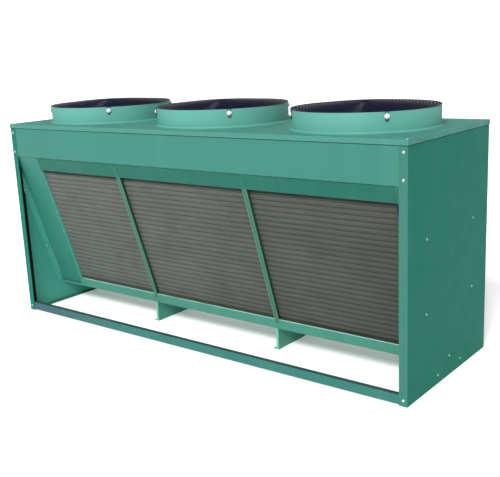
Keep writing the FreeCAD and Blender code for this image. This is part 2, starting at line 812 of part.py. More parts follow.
def fan_motor(x):
    """Motor housing: a square base flange, a plain shell, a sloped end bell and a bored bearing boss."""
    base, top = motor_floor, motor_top
    points = [(0, base), (motor_radius, base), (motor_radius, top - motor_shoulder),
              (motor_radius - motor_shoulder, top), (boss_radius, top), (boss_radius, top + motor_boss),
              (0, top + motor_boss)]
    half = motor_base_half
    flange = box(-half, half, -half, half, base, base + motor_base)
    corners = [e for e in flange.Edges if e.BoundBox.ZLength > motor_base / 2]
    flange = flange.makeChamfer(motor_base_corner, corners)
    bore = cylinder(shaft_radius + shaft_clearance, 2 * motor_bore, UP * (top + motor_boss - motor_bore))
    body = turned(points, motor_sides).fuse(flange).cut(motor_bolt_holes() + [bore])
    body.translate(V(x, 0, 0))
    return body


def motor_shaft(x):
    """Shaft from inside the motor to just over the hub."""
    low = motor_top + motor_boss - motor_bore + seat_gap
    return cylinder(shaft_radius, shaft_top - low, V(x, 0, low))


def motor_bolts(x):
    """Bolts through the motor's base flange and its plate."""
    bolts = []
    for p in motor_bolt_places(x):
        low = p - UP * (motor_plate + nut_height)
        head = hexagon(nut_flats, nut_height, p + UP * motor_base)
        shank = rod(motor_bolt_radius, motor_base + motor_plate + nut_height, low)
        nut = hexagon(nut_flats, nut_height, low)
        bolts.append(head.fuse([shank, nut]))
    return bolts


# Sheet screws
def screw_head(place, out):
    """Hexagon head, flat on the sheet."""
    return hexagon(screw_flats, screw_height, place, out)


def panel_screws():
    """Heads of every sheet screw, on all four corners and both ends of the cabinet."""
    heads = []
    high, low = body_height - fascia_screw_edge, fascia_low + fascia_screw_edge
    face_heights = (high, low, (rail_low + rail_high) / 2)
    for sx in (-1, 1):
        out = V(sx, 0, 0)
        x_end = sx * length / 2
        wall = x_end - sx * (liner_face + thin_sheet)
        for sy in (-1, 1):
            for z in face_heights:
                heads.append(screw_head(V(x_end - sx * screw_in, sy * depth / 2, z), V(0, sy, 0)))
            corner = V(x_end - sx * lid_screw_in, sy * (depth / 2 - lid_screw_in), lid_top)
            heads.append(screw_head(corner, UP))
            for z in (body_height * share for share in end_screw_shares):
                heads.append(screw_head(V(x_end, sy * end_screw_out, z), out))
            heads.append(screw_head(V(x_end, sy * tray_screw_out, tray_screw_z), out))
            for z in (body_height * share for share in strip_screw_shares):
                heads.append(screw_head(V(wall, -sy * slope_y_at(-strip_screw_out, z), z), out * -1))
        heads.append(screw_head(V(x_end, 0, middle_screw_z), out))
    return heads


def main():
    os.makedirs("parts", exist_ok=True)
    panel, liner = end_panel(), end_liner()
    save("end_panel_left", with_pipe_holes(panel, grommet_wall))
    save("end_panel_right", mirrored_x(panel))
    save("end_liner_left", with_pipe_holes(liner, 3 * grommet_wall))
    save("end_liner_right", mirrored_x(liner))
    save("top_panel", top_panel())
    save("bottom_tray", bottom_tray())
    liner_left = left + liner_face
    for name, place in zip(("left", "right"), divider_places[:1] + divider_places[-1:]):
        save("support_leg_" + name, support_leg(place))
        save("baffle_" + name, baffle(place))
    bends = return_bends()
    for side, turn in (("front", lambda s: s), ("rear", mirrored_y)):
        save("fascia_" + side, turn(fascia()))
        save("base_rail_" + side, turn(base_rail()))
        save("coil_top_band_" + side, turn(coil_top_band()))
        save("closure_strip_" + side + "_left", turn(closure_strip(liner_left, sheet_left)))
        save("closure_strip_" + side + "_right", turn(closure_strip(-liner_left, sheet_right)))
        save("divider_" + side + "_left", turn(divider(divider_places[0])))
        save("divider_" + side + "_right", turn(divider(divider_places[-1])))
        save("fin_block_" + side, turn(fin_block()))
        save("tube_sheet_" + side + "_left", turn(tube_sheet(sheet_left, -1)))
        save("tube_sheet_" + side + "_right", turn(tube_sheet(sheet_right, 1)))
        save("return_bends_" + side, *[turn(b) for b in bends])
    save("gas_manifold", *manifold(gas_radius, gas_header_in, rows_deep - 1, gas_stub_z))
    save("liquid_manifold", *manifold(liquid_radius, liquid_header_in, 0, liquid_stub_z))
    save("pipe_grommets", grommet(gas_radius, gas_stub_z), grommet(liquid_radius, liquid_stub_z))
    save("cable_gland", cable_gland())
    for number, x in enumerate(fan_places, 1):
        n = str(number)
        save("venturi_ring_" + n, venturi_ring(x))
        save("fan_guard_" + n, *fan_guard(x))
        save("motor_mount_" + n, motor_mount(x))
        save("fan_motor_" + n, fan_motor(x))
        save("motor_shaft_" + n, motor_shaft(x))
        save("fan_hub_" + n, fan_hub(x))
        save("fan_blades_" + n, *fan_blades(x))
    save("guard_bolts", *[guard_bolt(x, a) for x in fan_places for a in leg_angles()])
    save("motor_bolts", *[b for x in fan_places for b in motor_bolts(x)])
    save("panel_screws", *panel_screws())


main()
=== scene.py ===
import random
from math import asin, cos, pi, radians, sin, sqrt

import bmesh
import bpy
from mathutils import Matrix, Vector


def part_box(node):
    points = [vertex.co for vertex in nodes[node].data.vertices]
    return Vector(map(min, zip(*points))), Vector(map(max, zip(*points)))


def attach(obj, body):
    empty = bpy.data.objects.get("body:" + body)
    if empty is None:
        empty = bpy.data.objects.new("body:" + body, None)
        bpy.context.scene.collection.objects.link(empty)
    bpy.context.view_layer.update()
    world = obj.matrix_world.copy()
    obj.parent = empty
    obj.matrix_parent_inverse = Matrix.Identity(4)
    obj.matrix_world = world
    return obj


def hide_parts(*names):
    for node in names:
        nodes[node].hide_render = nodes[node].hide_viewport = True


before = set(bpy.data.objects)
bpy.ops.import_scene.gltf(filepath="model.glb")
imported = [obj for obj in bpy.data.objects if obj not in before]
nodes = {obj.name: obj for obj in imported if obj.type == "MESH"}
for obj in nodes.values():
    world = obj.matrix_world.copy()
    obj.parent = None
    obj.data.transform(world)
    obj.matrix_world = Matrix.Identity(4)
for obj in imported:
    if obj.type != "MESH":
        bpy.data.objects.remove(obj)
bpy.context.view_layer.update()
fan_count = 3
fan_names = [str(n) for n in range(1, fan_count + 1)]

# Sizes read from the frame, in metres
lid_low, lid_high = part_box("top_panel")
panel_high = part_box("end_panel_right")[1]
half_length = panel_high.x
half_depth = panel_high.y
lid_foot, lid_top = lid_low.z, lid_high.z
ring_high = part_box("venturi_ring_2")[1]         # the middle ring stands over x = 0
rim = ring_high.z
tray_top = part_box("bottom_tray")[1].z
band_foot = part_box("coil_top_band_front")[0].z
motor_boxes = [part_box("fan_motor_" + n) for n in fan_names]
fan_places = [(low.x + high.x) / 2 for low, high in motor_boxes]
section = 2 * half_length / fan_count

# Cabinet
sheet = 0.002
seam_shadow_height = 0.006        # painted shadow under the lid's flange
lip_highlight_width = 0.0035         # painted highlight along the tray's upper edge
slot_shade_in = 0.049            # front plane to the inner edge of the painted shade on an end liner
divider_edge = 0.0095      # middle of a divider to its pale edges
wear_and_highlight_radius = 0.0022       # reach of the worn paint and painted highlight round an edge

# Guards
guard_wire = 0.0046
rim_wire_share = 1.2       # the outermost ring's wire against the others
guard_rings = 22
guard_eye = 0.030
guard_spokes = 8
spoke_steps = 12
spoke_drop = 0.6           # of a wire's thickness, from the rings' middle to the spokes'
spoke_gap = 0.002          # spoke's end to the outermost ring's middle
spoke_sink = 0.004         # the most that a spoke's end runs below the rim
leg_wire = 0.0040
leg_half = 0.007
leg_rise = 0.003
leg_gap = 0.0005           # venturi ring to loop
leg_steps = 8
leg_tail = 0.010           # of a guard's loop, below its washer

# Venturi rings
ring_outer = 0.388
ring_flare = 0.010
ring_steps = 8
rim_bead = 0.002
rim_flat = 0.0004
rim_inset = 0.3            # of the sheet's thickness

# Fasteners: a head's width across its flats and its height
bolt_drop = 0.022
bolt_seat = 0.0043         # outside of a venturi ring to the washer, over the loop's wire
washer_radius = 0.013
washer_thick = 0.002
head_chamfer = 0.88        # of a head's radius, at its top
head_side = 0.80           # of a head's height, up to the chamfer
screw_head = (0.0095, 0.0044)
bolt_head = (0.013, 0.0062)
bolt_nut = (0.013, 0.0060)
cap_screw = (0.008, 0.004)
shank_radius = 0.0040

# Coils and pipework
slope = radians(17.0)
tube_pitch = 0.03175
row_pitch = 0.0275
coil_face_y = 0.190        # closure plane to mid-depth, at the tray's top
fin_shown = (band_foot - tray_top) / cos(slope)      # up the coil's face to the band
fin_pitch = 0.0021
band_shadow = 0.027        # painted shadow on the fins under the band
shadow_edge = 0.004
coil_recess = 0.018
tube_rows = 28
circuit_rows = 4
tube_radius = 0.00476
tube_wall = 0.0016
sheet_left = -1.215
sheet_right = 1.367
bend_steps = 8
cap_height = 0.006
collar_radius = 1.45 * tube_radius
collar_sink = 0.002        # of a collar, into a header's side
feeder_start = 0.8         # of a header's radius
gas_pipe = (0.01745, -1.325, 1, 0.930)       # radius, header x, row, stub height
liquid_pipe = (0.0111, -1.265, 0, 0.262)
stub_end = -1.505
bead_place = -1.459
bead_rise = 0.0038
bead_half = 0.002
gland_height = 1.170
gland_flats = 0.036

# Fans and motors
blade_count = 4
fan_radius = 0.381
root_radius = 0.088
blade_span = fan_radius - root_radius
root_chord, tip_chord = 0.150, 0.200
root_pitch, tip_pitch = radians(35.0), radians(22.0)
blade_camber = 0.09
blade_thick = 0.0025
tip_gap = 0.0005
tip_corner = 0.22          # of half the chord, rounded off
tip_round = 0.030
arm_share = 1 / 3
arm_reach = 0.150
arm_thick = 0.0035
arm_gap = 0.0003           # arm to blade
arm_root = 0.7             # of the hub's radius, where an arm starts
rivet_radii = (0.102, 0.138)
rivet_shares = (-0.16, 0.16)
hub_radius = 0.027
hub_half = 0.018
hub_drop = 0.033           # shaft's top to the hub's middle
hub_chamfer = 0.0015
hub_screw_rise = 0.009     # hub's middle to its two screws
shaft_radius = 0.0079
bore_radius = 0.0082
motor_radius = 0.080
motor_half = 0.086
motor_corner = 0.022
motor_ribs = 20
rib_radius, rib_length, rib_foot = 0.0022, 0.074, 0.024
rib_sink = 0.0024          # shell's radius to a rib's middle
cap_screw_out, cap_screw_drop = 0.050, 0.0145
bolt_out = 0.072
bolt_shift = 0.014

# Light
sun_strength = 3.5
sun_spread = radians(16)
sun_turn, sun_rise = radians(14), radians(40)
soft_light = 0.65
white_seen = 1.05
floor_glow = 0.22
floor_reach = 30.0

# Camera, from the photograph's perspective
camera_place = Vector((3.0802, -3.6611, 1.7142))
camera_turn = radians(38.566)
camera_dip = radians(13.551)
camera_roll = radians(-2.585)
camera_lens = 57.63
film_width = 36.0


# Mesh helpers
def link(obj):
    bpy.context.scene.collection.objects.link(obj)
    return obj


def piece(name, build, material, replaces=(), body="cabinet", smooth_below=radians(35)):
    """Mesh object that rides on a body."""
    mesh = bpy.data.meshes.new(name)
    mesh.from_pydata([tuple(p) for p in build.points], [], build.faces)
    mesh.validate()
    mesh.materials.append(material)
    mesh.polygons.foreach_set("use_smooth", [True] * len(mesh.polygons))
    mesh.set_sharp_from_angle(angle=smooth_below)
    obj = link(bpy.data.objects.new(name, mesh))
    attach(obj, body)
    if replaces:
        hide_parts(*replaces)
    return obj


class Build:
    """Points and faces of one or more shapes."""

    def __init__(self):
        self.points = []
        self.faces = []

    def add(self, points, faces):
        base = len(self.points)
        self.points += [Vector(p) for p in points]
        self.faces += [tuple(base + i for i in f) for f in faces]

    def loops(self, rings, closed=False, caps=False):
        """Quads between loops of as many points each."""
        count = len(rings[0])
        points = [p for r in rings for p in r]
        faces = []
        spans = len(rings) if closed else len(rings) - 1
        for i in range(spans):
            a, b = i * count, (i + 1) % len(rings) * count
            for j in range(count):
                k = (j + 1) % count
                faces.append((a + j, a + k, b + k, b + j))
        if caps:
            faces.append(tuple(reversed(range(count))))
            faces.append(tuple(range(len(points) - count, len(points))))
        self.add(points, faces)

    def join(self, other):
        self.add(other.points, other.faces)

    def moved(self, matrix):
        out = Build()
        out.add([matrix @ p for p in self.points], self.faces)
        return out

    def shifted(self, x=0.0, y=0.0, z=0.0):
        return self.moved(Matrix.Translation((x, y, z)))


def spread(count, start=0.0):
    """Evenly spaced turns round the upright axis, each with its direction."""
    turns = [start + 2 * pi * i / count for i in range(count)]
    return [(t, Vector((cos(t), sin(t), 0))) for t in turns]


def upright(z):
    return Vector((0, 0, z))


def circle(radius, count, z=0.0, start=0.0):
    return [Vector((radius * cos(t), radius * sin(t), z)) for t, _ in spread(count, start)]


def turned(profile, count):
    """Closed profile of (radius, z) points swept round the upright axis."""
    out = Build()
    out.loops([circle(r, count, z) for r, z in profile], closed=True)
    return out


def lathe(profile, count, start=0.0):
    """Solid of revolution with flat ends."""
    out = Build()
    out.loops([circle(r, count, z, start) for r, z in profile], caps=True)
    return out


def wire_section(middle, first, second, thick, sides):
    """Round section of a wire in the plane of two directions."""
    return [middle + (first * cos(s) + second * sin(s)) * thick / 2
            for s in (2 * pi * k / sides for k in range(sides))]


def wire_ring(radius, z, thick, count, sides=8):
    out = Build()
    out.loops([wire_section(out_dir * radius + upright(z), out_dir, upright(1), thick, sides)
               for _, out_dir in spread(count)], closed=True)
    return out


def wire_path(path, thick, sides=8):
    """Round wire along a path, with flat ends."""
    out = Build()
    rings = []
    for i, p in enumerate(path):
        before = path[max(i - 1, 0)]
        after = path[min(i + 1, len(path) - 1)]
        ahead = (after - before).normalized()
        side = ahead.orthogonal() if i == 0 else side - ahead * side.dot(ahead)
        side = side.normalized()
        rings.append(wire_section(p, side, ahead.cross(side), thick, sides))
    out.loops(rings, caps=True)
    return out


def facing(place, direction):
    """Matrix that stands a shape built along +Z on a place, along a direction."""
    return Matrix.Translation(place) @ direction.to_track_quat("Z", "Y").to_matrix().to_4x4()


def hanging(z):
    """Matrix that hangs a shape built along +Z upside down from a height."""
    return Matrix.Translation((0, 0, z)) @ Matrix.Rotation(pi, 4, "X")


# Shader graph helpers
def srgb(r, g, b):
    """Colour given in display values from 0 to 255."""
    def lin(v):
        v /= 255.0
        return v / 12.92 if v <= 0.04045 else ((v + 0.055) / 1.055) ** 2.4
    return lin(r), lin(g), lin(b), 1.0


def scaled(colour, share, lift=0.0):
    """Colour made lighter or darker."""
    return tuple(min(1.0, c * share + lift) for c in colour[:3]) + (1.0,)


class Shader:
    """One material's node graph."""

    def __init__(self, name):
        self.material = bpy.data.materials.new(name)
        self.material.use_nodes = True
        self.tree = self.material.node_tree
        self.tree.nodes.clear()
        self.surface = self.add("ShaderNodeBsdfPrincipled")
        end = self.add("ShaderNodeOutputMaterial")
        self.tree.links.new(self.surface.outputs["BSDF"], end.inputs["Surface"])
        self.place = self.add("ShaderNodeTexCoord").outputs["Object"]

    def add(self, kind, **settings):
        node = self.tree.nodes.new(kind)
        for key, value in settings.items():
            setattr(node, key, value)
        return node

    def feed(self, socket, value):
        if isinstance(value, bpy.types.NodeSocket):
            self.tree.links.new(value, socket)
        else:
            socket.default_value = value

    def set(self, **values):
        """Sets or links sockets of the surface by name, with underscores for spaces."""
        for key, value in values.items():
            self.feed(self.surface.inputs[key.replace("_", " ")], value)

    def math(self, operation, a, b=0.0, clamp=False):
        node = self.add("ShaderNodeMath", operation=operation, use_clamp=clamp)
        self.feed(node.inputs[0], a)
        self.feed(node.inputs[1], b)
        return node.outputs[0]

    def times(self, a, b):
        return self.math("MULTIPLY", a, b)

    def minus(self, a, b):
        return self.math("SUBTRACT", a, b)

    def split(self, vector=None):
        node = self.add("ShaderNodeSeparateXYZ")
        self.feed(node.inputs[0], vector or self.place)
        return node.outputs

    def stretched(self, x, y, z, offset=(0.0, 0.0, 0.0)):
        node = self.add("ShaderNodeMapping")
        self.feed(node.inputs["Vector"], self.place)
        node.inputs["Scale"].default_value = (x, y, z)
        node.inputs["Location"].default_value = offset
        return node.outputs[0]

    def noise(self, scale, detail=3.0, rough=0.55, vector=None):
        node = self.add("ShaderNodeTexNoise")
        self.feed(node.inputs["Vector"], vector or self.place)
        node.inputs["Scale"].default_value = scale
        node.inputs["Detail"].default_value = detail
        node.inputs["Roughness"].default_value = rough
        return node.outputs["Fac"]

    def ramp(self, value, low, high, out_low=0.0, out_high=1.0):
        node = self.add("ShaderNodeMapRange", clamp=True)
        self.feed(node.inputs["Value"], value)
        for key, number in (("From Min", low), ("From Max", high),
                            ("To Min", out_low), ("To Max", out_high)):
            node.inputs[key].default_value = number
        return node.outputs["Result"]

    def blend(self, share, first, second):
        node = self.add("ShaderNodeMix", data_type="RGBA")
        self.feed(node.inputs[0], share)
        self.feed(node.inputs[6], first)
        self.feed(node.inputs[7], second)
        return node.outputs[2]

    def bump(self, height, distance, strength=1.0, after=None):
        node = self.add("ShaderNodeBump")
        self.feed(node.inputs["Height"], height)
        node.inputs["Distance"].default_value = distance
        node.inputs["Strength"].default_value = strength
        if after is not None:
            self.feed(node.inputs["Normal"], after)
        return node.outputs["Normal"]

    def edge(self, radius):
        """1 on edges and in corners, 0 on flat sheet."""
        bevel = self.add("ShaderNodeBevel", samples=4)
        bevel.inputs["Radius"].default_value = radius
        geometry = self.add("ShaderNodeNewGeometry")
        dot = self.add("ShaderNodeVectorMath", operation="DOT_PRODUCT")
        self.feed(dot.inputs[0], bevel.outputs[0])
        self.feed(dot.inputs[1], geometry.outputs["Normal"])
        return self.ramp(dot.outputs["Value"], 0.995, 0.90)

    def upward(self):
        """1 on faces that look up."""
        geometry = self.add("ShaderNodeNewGeometry")
        return self.ramp(self.split(geometry.outputs["Normal"])[2], 0.6, 0.95)


# Colours that lie over the paints
faded = srgb(132, 190, 172)
dirt = srgb(60, 74, 66)
pale_dust = srgb(196, 198, 184)
# worn paint and painted highlight along edges
wear_and_highlight_pale = srgb(140, 204, 182)
# painted highlight colour for the tray's upper edge
lip_highlight_pale = srgb(150, 204, 184)
# painted shadow colour for the seam under the lid's flange
seam_shadow_dark = srgb(14, 34, 30)
# painted shade colours on the dividers
core_shade_green = srgb(54, 98, 78)
band_shade_green = srgb(18, 96, 80)
# near-black colour for the painted shade along the end liners' edges
slot_shade_dark = srgb(8, 14, 13)


# Layers that some of the paints have over their colour
def lid_seam_shadow(s, colour):
    """Painted shadow in the seam under the lid's flange."""
    height = s.split()[2]
    seam = s.times(s.ramp(height, lid_foot - seam_shadow_height, lid_foot - seam_shadow_height / 2),
                   s.ramp(height, lid_foot + seam_shadow_height / 2, lid_foot))
    return s.blend(s.times(seam, 0.75), colour, seam_shadow_dark)


def tray_lip_highlight(s, colour):
    """Painted highlight along the tray's upper edge, in patches."""
    lip = tray_top - lip_highlight_width
    # The band under the upper edge where the highlight is painted.
    worn = s.ramp(s.split()[2], lip - 0.0015, lip)
    patchy = s.ramp(s.noise(1.0, 4.0, 0.6, s.stretched(9.0, 9.0, 3.0)), 0.30, 0.60, 0.35, 1.0)
    return s.blend(s.times(s.times(worn, patchy), 0.75), colour, lip_highlight_pale)


def divider_shading(s, colour):
    """Painted shade: a darker strip down the middle of a divider, and the band's shaded green where
    it crosses the band.
    """
    places = s.split()
    along, height = places[0], places[2]
    from_middle = s.math("ABSOLUTE", s.minus(s.math("ABSOLUTE", along), section / 2))
    core = s.ramp(from_middle, divider_edge + 0.0008, divider_edge - 0.0008)
    over_band = s.ramp(height, band_foot - 0.002, band_foot + 0.006)
    colour = s.blend(core, colour, core_shade_green)
    return s.blend(s.times(over_band, 0.85), colour, band_shade_green)


def end_slot_shade(s, colour):
    """Painted shade, near black, along the front and rear edges of an end liner."""
    depth = s.math("ABSOLUTE", s.split()[1])
    start = half_depth - slot_shade_in
    return s.blend(s.ramp(depth, start, start + 0.001), colour, slot_shade_dark)


def fading(axis, start, end, other):
    """Layer that turns to another colour between two places along an axis."""
    return lambda s, colour: s.blend(s.ramp(s.split()[axis], start, end), colour, srgb(*other))


# Materials
def enamel(name, colour, dust=0.12, streaks=0.10, rough=0.45, shine=0.22, mottle=0.45, wear_and_highlight=0.45,
           layer=None):
    """Green enamel on sheet steel: mottled, faded in streaks, dusty on top, worn and with a painted
    highlight along edges.
    """
    s = Shader(name)
    base = srgb(*colour)
    cloud = s.ramp(s.noise(2.2, 5.0, 0.6), 0.30, 0.72)
    grain = s.ramp(s.noise(160.0, 2.0, 0.5), 0.25, 0.75)
    run = s.ramp(s.noise(1.0, 6.0, 0.65, s.stretched(9.0, 9.0, 0.55)), 0.48, 0.78)
    spots = s.ramp(s.noise(34.0, 4.0, 0.7), 0.66, 0.80)
    colour_now = s.blend(s.times(cloud, mottle), base, scaled(base, 1.22, 0.010))
    colour_now = s.blend(s.times(grain, 0.16), colour_now, scaled(base, 0.80))
    colour_now = s.blend(s.times(run, streaks), colour_now, faded)
    colour_now = s.blend(s.times(spots, 0.10), colour_now, dirt)
    if layer:
        colour_now = layer(s, colour_now)
    settled = s.times(s.upward(), s.ramp(s.noise(5.0, 6.0, 0.65), 0.25, 0.75, 0.3, 1.0))
    colour_now = s.blend(s.times(settled, dust), colour_now, pale_dust)
    # Paler along edges and in corners: worn paint, and a painted highlight on the edges.
    worn = s.times(s.edge(wear_and_highlight_radius), s.ramp(s.noise(26.0, 5.0, 0.7), 0.45, 0.70))
    colour_now = s.blend(s.times(worn, wear_and_highlight), colour_now, wear_and_highlight_pale)
    gloss = s.ramp(s.noise(7.0, 5.0, 0.6), 0.3, 0.75, rough - 0.07, rough + 0.13)
    gloss = s.math("ADD", gloss, s.times(settled, 0.25), clamp=True)
    peel = s.bump(s.noise(420.0, 2.0, 0.5), 0.00012, 0.5)
    wave = s.bump(s.noise(2.6, 2.0, 0.4), 0.006, 0.5, after=peel)
    s.set(Base_Color=colour_now, Roughness=gloss, Normal=wave, Specular_IOR_Level=shine)
    return s.material


def cavity_shade(name):
    """Painted shade, near black and mottled, between an end panel and its liner."""
    s = Shader(name)
    cavity_mottle = s.ramp(s.noise(6.0, 6.0, 0.65), 0.35, 0.70)
    s.set(Base_Color=s.blend(cavity_mottle, srgb(10, 26, 22), srgb(20, 42, 36)), Roughness=0.8,
          Normal=s.bump(s.noise(90.0, 3.0), 0.0003, 0.4))
    return s.material


def zinc(name, base, rough, spangle, metal=1.0):
    """Zinc plate or galvanised sheet with spangle and dull patches."""
    s = Shader(name)
    cells = s.add("ShaderNodeTexVoronoi")
    s.feed(cells.inputs["Vector"], s.place)
    cells.inputs["Scale"].default_value = spangle
    shade = s.ramp(s.split(cells.outputs["Color"])[0], 0.0, 1.0, 0.0, 0.35)
    dull = s.ramp(s.noise(12.0, 5.0, 0.6), 0.4, 0.75)
    bright = srgb(*base)
    colour_now = s.blend(shade, bright, scaled(bright, 0.62))
    colour_now = s.blend(s.times(dull, 0.4), colour_now, srgb(150, 150, 142))
    s.set(Base_Color=colour_now, Metallic=metal,
          Roughness=s.ramp(dull, 0.0, 1.0, rough, rough + 0.25),
          Normal=s.bump(s.noise(300.0, 2.0), 0.0001, 0.4))
    return s.material


def dark_wire(name):
    """Dark navy coating on wire, glossy and worn in places."""
    s = Shader(name)
    worn = s.ramp(s.noise(70.0, 4.0, 0.6), 0.66, 0.76)
    tone = s.ramp(s.noise(14.0, 3.0), 0.3, 0.7)
    colour_now = s.blend(tone, srgb(4, 5, 28), srgb(12, 12, 44))
    colour_now = s.blend(s.times(worn, 0.2), colour_now, srgb(96, 94, 106))
    s.set(Base_Color=colour_now, Roughness=s.ramp(worn, 0.0, 1.0, 0.16, 0.40),
          Specular_IOR_Level=0.06, Coat_Weight=0.05, Coat_Roughness=0.10,
          Normal=s.bump(s.noise(500.0, 2.0), 0.0001, 0.5))
    return s.material


def fin_pack(name):
    """Edges of aluminium fins: painted shade in a dark line between rows, a painted highlight on
    their crests, a painted shadow under the band, darker towards the right end, dirt, rust and
    patches of bent fins.
    """
    s = Shader(name)
    x, y, z = s.split()
    depth = s.math("ABSOLUTE", y)
    up = s.math("ADD", s.times(s.minus(z, tray_top), cos(slope)),
                s.times(s.minus(depth, coil_face_y), sin(slope)))
    wander = s.times(s.minus(s.noise(3.0, 3.0, 0.5), 0.5), 0.010)
    row = s.math("FRACT", s.math("DIVIDE", s.math("ADD", up, wander), tube_pitch))
    from_middle = s.math("ABSOLUTE", s.minus(row, 0.5))
    # Painted shade in the recess between rows, and a painted highlight on each row's crest.
    line = s.ramp(from_middle, 0.36, 0.47)
    crest = s.ramp(from_middle, 0.26, 0.02)
    fin_edges = s.math("SINE", s.times(x, 2 * pi / fin_pitch))
    bent = s.ramp(s.noise(1.0, 4.0, 0.6, s.stretched(7.0, 7.0, 16.0)), 0.50, 0.72)
    grime = s.ramp(s.noise(1.0, 6.0, 0.62, s.stretched(3.2, 3.2, 5.0, (3.0, 1.0, 0.0))), 0.34, 0.68)
    rust = s.ramp(s.noise(1.0, 5.0, 0.65, s.stretched(9.0, 9.0, 30.0, (0.0, 5.0, 2.0))), 0.52, 0.74)
    # Darker towards the right end.
    across = s.ramp(x, -1.2, 1.4)
    row_shade_depth = s.ramp(x, -1.4, 1.4, 0.42, 0.88)
    # Painted shadow of the band on the fins below it.
    band_shadow_mask = s.ramp(up, fin_shown - band_shadow, fin_shown - band_shadow + shadow_edge)
    colour_now = s.blend(s.times(grime, 0.6), srgb(92, 98, 92), srgb(80, 82, 76))
    for share, colour in ((s.times(crest, 0.16), srgb(118, 122, 114)),
                          (s.times(bent, 0.30), srgb(62, 68, 64)),
                          (s.times(rust, 0.34), srgb(98, 76, 66)),
                          (s.times(across, 0.74), srgb(44, 51, 44)),
                          (s.times(line, row_shade_depth), srgb(30, 32, 29)),
                          (s.times(band_shadow_mask, 0.92), srgb(8, 10, 9))):
        colour_now = s.blend(share, colour_now, colour)
    relief = s.bump(fin_edges, 0.0006, 0.35)
    relief = s.bump(s.minus(crest, line), 0.0015, 0.6, after=relief)
    s.set(Base_Color=colour_now, Metallic=0.25, Roughness=s.ramp(grime, 0.0, 1.0, 0.52, 0.78),
          Normal=relief)
    return s.material


def copper(name):
    """Dull copper with heat tint and verdigris."""
    s = Shader(name)
    tint = s.ramp(s.noise(18.0, 5.0, 0.6), 0.35, 0.72)
    green = s.ramp(s.noise(40.0, 5.0, 0.7), 0.64, 0.80)
    colour_now = s.blend(tint, srgb(176, 108, 76), srgb(112, 66, 50))
    colour_now = s.blend(s.times(green, 0.4), colour_now, srgb(94, 140, 118))
    s.set(Base_Color=colour_now, Metallic=0.9, Roughness=s.ramp(tint, 0.0, 1.0, 0.30, 0.50),
          Normal=s.bump(s.noise(260.0, 2.0), 0.0002, 0.4))
    return s.material


def speckled(name, colour, rough, metal=0.0, speckle=0.25):
    """Rubber, moulded plastic or painted castings with speckle and dust."""
    s = Shader(name)
    base = srgb(*colour)
    fleck_scale = 120.0
    fleck = s.ramp(s.noise(fleck_scale, 3.0, 0.6), 0.42, 0.72)
    film = s.ramp(s.noise(9.0, 5.0, 0.6), 0.35, 0.75)
    colour_now = s.blend(s.times(fleck, speckle), base, scaled(base, 1.6, 0.01))
    dust = s.times(s.times(film, s.upward()), 0.3)
    colour_now = s.blend(dust, colour_now, srgb(150, 148, 138))
    s.set(Base_Color=colour_now, Metallic=metal,
          Roughness=s.ramp(film, 0.0, 1.0, rough, rough + 0.15),
          Normal=s.bump(s.noise(fleck_scale * 3, 2.0), 0.0003, 0.5))
    return s.material


def floor_finish(name):
    s = Shader(name)
    tone = s.ramp(s.noise(0.8, 4.0, 0.5), 0.3, 0.7)
    s.set(Base_Color=s.blend(tone, (0.86, 0.86, 0.86, 1), (0.90, 0.90, 0.90, 1)), Roughness=0.9,
          Specular_IOR_Level=0.1, Emission_Color=(1.0, 1.0, 1.0, 1.0), Emission_Strength=floor_glow)
    return s.material


# One green enamel in lit and shaded copies: each part's tone below is set lighter or darker to
# paint in the light or shade it gets.
paint_front = enamel("enamel_front", (54, 115, 104), streaks=0.03, shine=0.12, mottle=0.25,
                     layer=lid_seam_shadow)
# Shaded copy: painted shade on the end panels.
paint_end_shaded = enamel("enamel_end_shaded", (31, 105, 89), dust=0.04, streaks=0.01, shine=0.02, mottle=0.12,
                   layer=lid_seam_shadow)
paint_flange = enamel("enamel_flange", (52, 107, 94), streaks=0.03, shine=0.12, mottle=0.2,
                      layer=lid_seam_shadow)
paint_lid = enamel("enamel_lid", (43, 118, 107), dust=0.06, shine=0.14, mottle=0.3)
# Lit copy: painted light on the lid's front flange.
paint_lid_edge_lit = enamel("enamel_lid_edge_lit", (65, 124, 112), streaks=0.03, shine=0.14, mottle=0.2)
paint_tray = enamel("enamel_tray", (56, 119, 103), dust=0.10, streaks=0.06, layer=tray_lip_highlight)
paint_leg = enamel("enamel_leg", (62, 131, 112), dust=0.08, streaks=0.05)
# Lit copy: painted light on the support legs' front faces.
paint_leg_edge_lit = enamel("enamel_leg_edge_lit", (104, 164, 146), dust=0.08, streaks=0.05, shine=0.12)
paint_rail = enamel("enamel_rail", (36, 101, 94), dust=0.08, streaks=0.05,
                    layer=fading(0, -0.5, -1.3, (50, 82, 92)))
# Shaded copy: painted shade on the base rails' tops.
paint_rail_top_shade = enamel("enamel_rail_top_shade", (18, 60, 60), dust=0.05, streaks=0.05)
# Shaded copy: painted shade on the coil top bands under the fascia.
paint_band_shaded = enamel("enamel_band_shaded", (12, 91, 76), dust=0.10, streaks=0.05)
paint_inner = enamel("enamel_inner", (44, 112, 98), dust=0.10, streaks=0.06, wear_and_highlight=0.8)
# Darker copy turning near black below the band: painted shade and a painted shadow on the right
# closure strips.
paint_gap_shadow = enamel("enamel_gap_shadow", (28, 96, 80), dust=0.06, streaks=0.04, wear_and_highlight=0.2,
                   layer=fading(2, band_foot + 0.002, band_foot - 0.004, (9, 13, 12)))
# Lit copy: painted light on the left closure strips' faces turned towards +x.
paint_flap_lit = enamel("enamel_flap_lit", (74, 164, 145), dust=0.06, streaks=0.03, mottle=0.2, wear_and_highlight=0.8)
paint_divider = enamel("enamel_divider", (58, 120, 101), dust=0.06, streaks=0.04, wear_and_highlight=0.25,
                       layer=divider_shading)
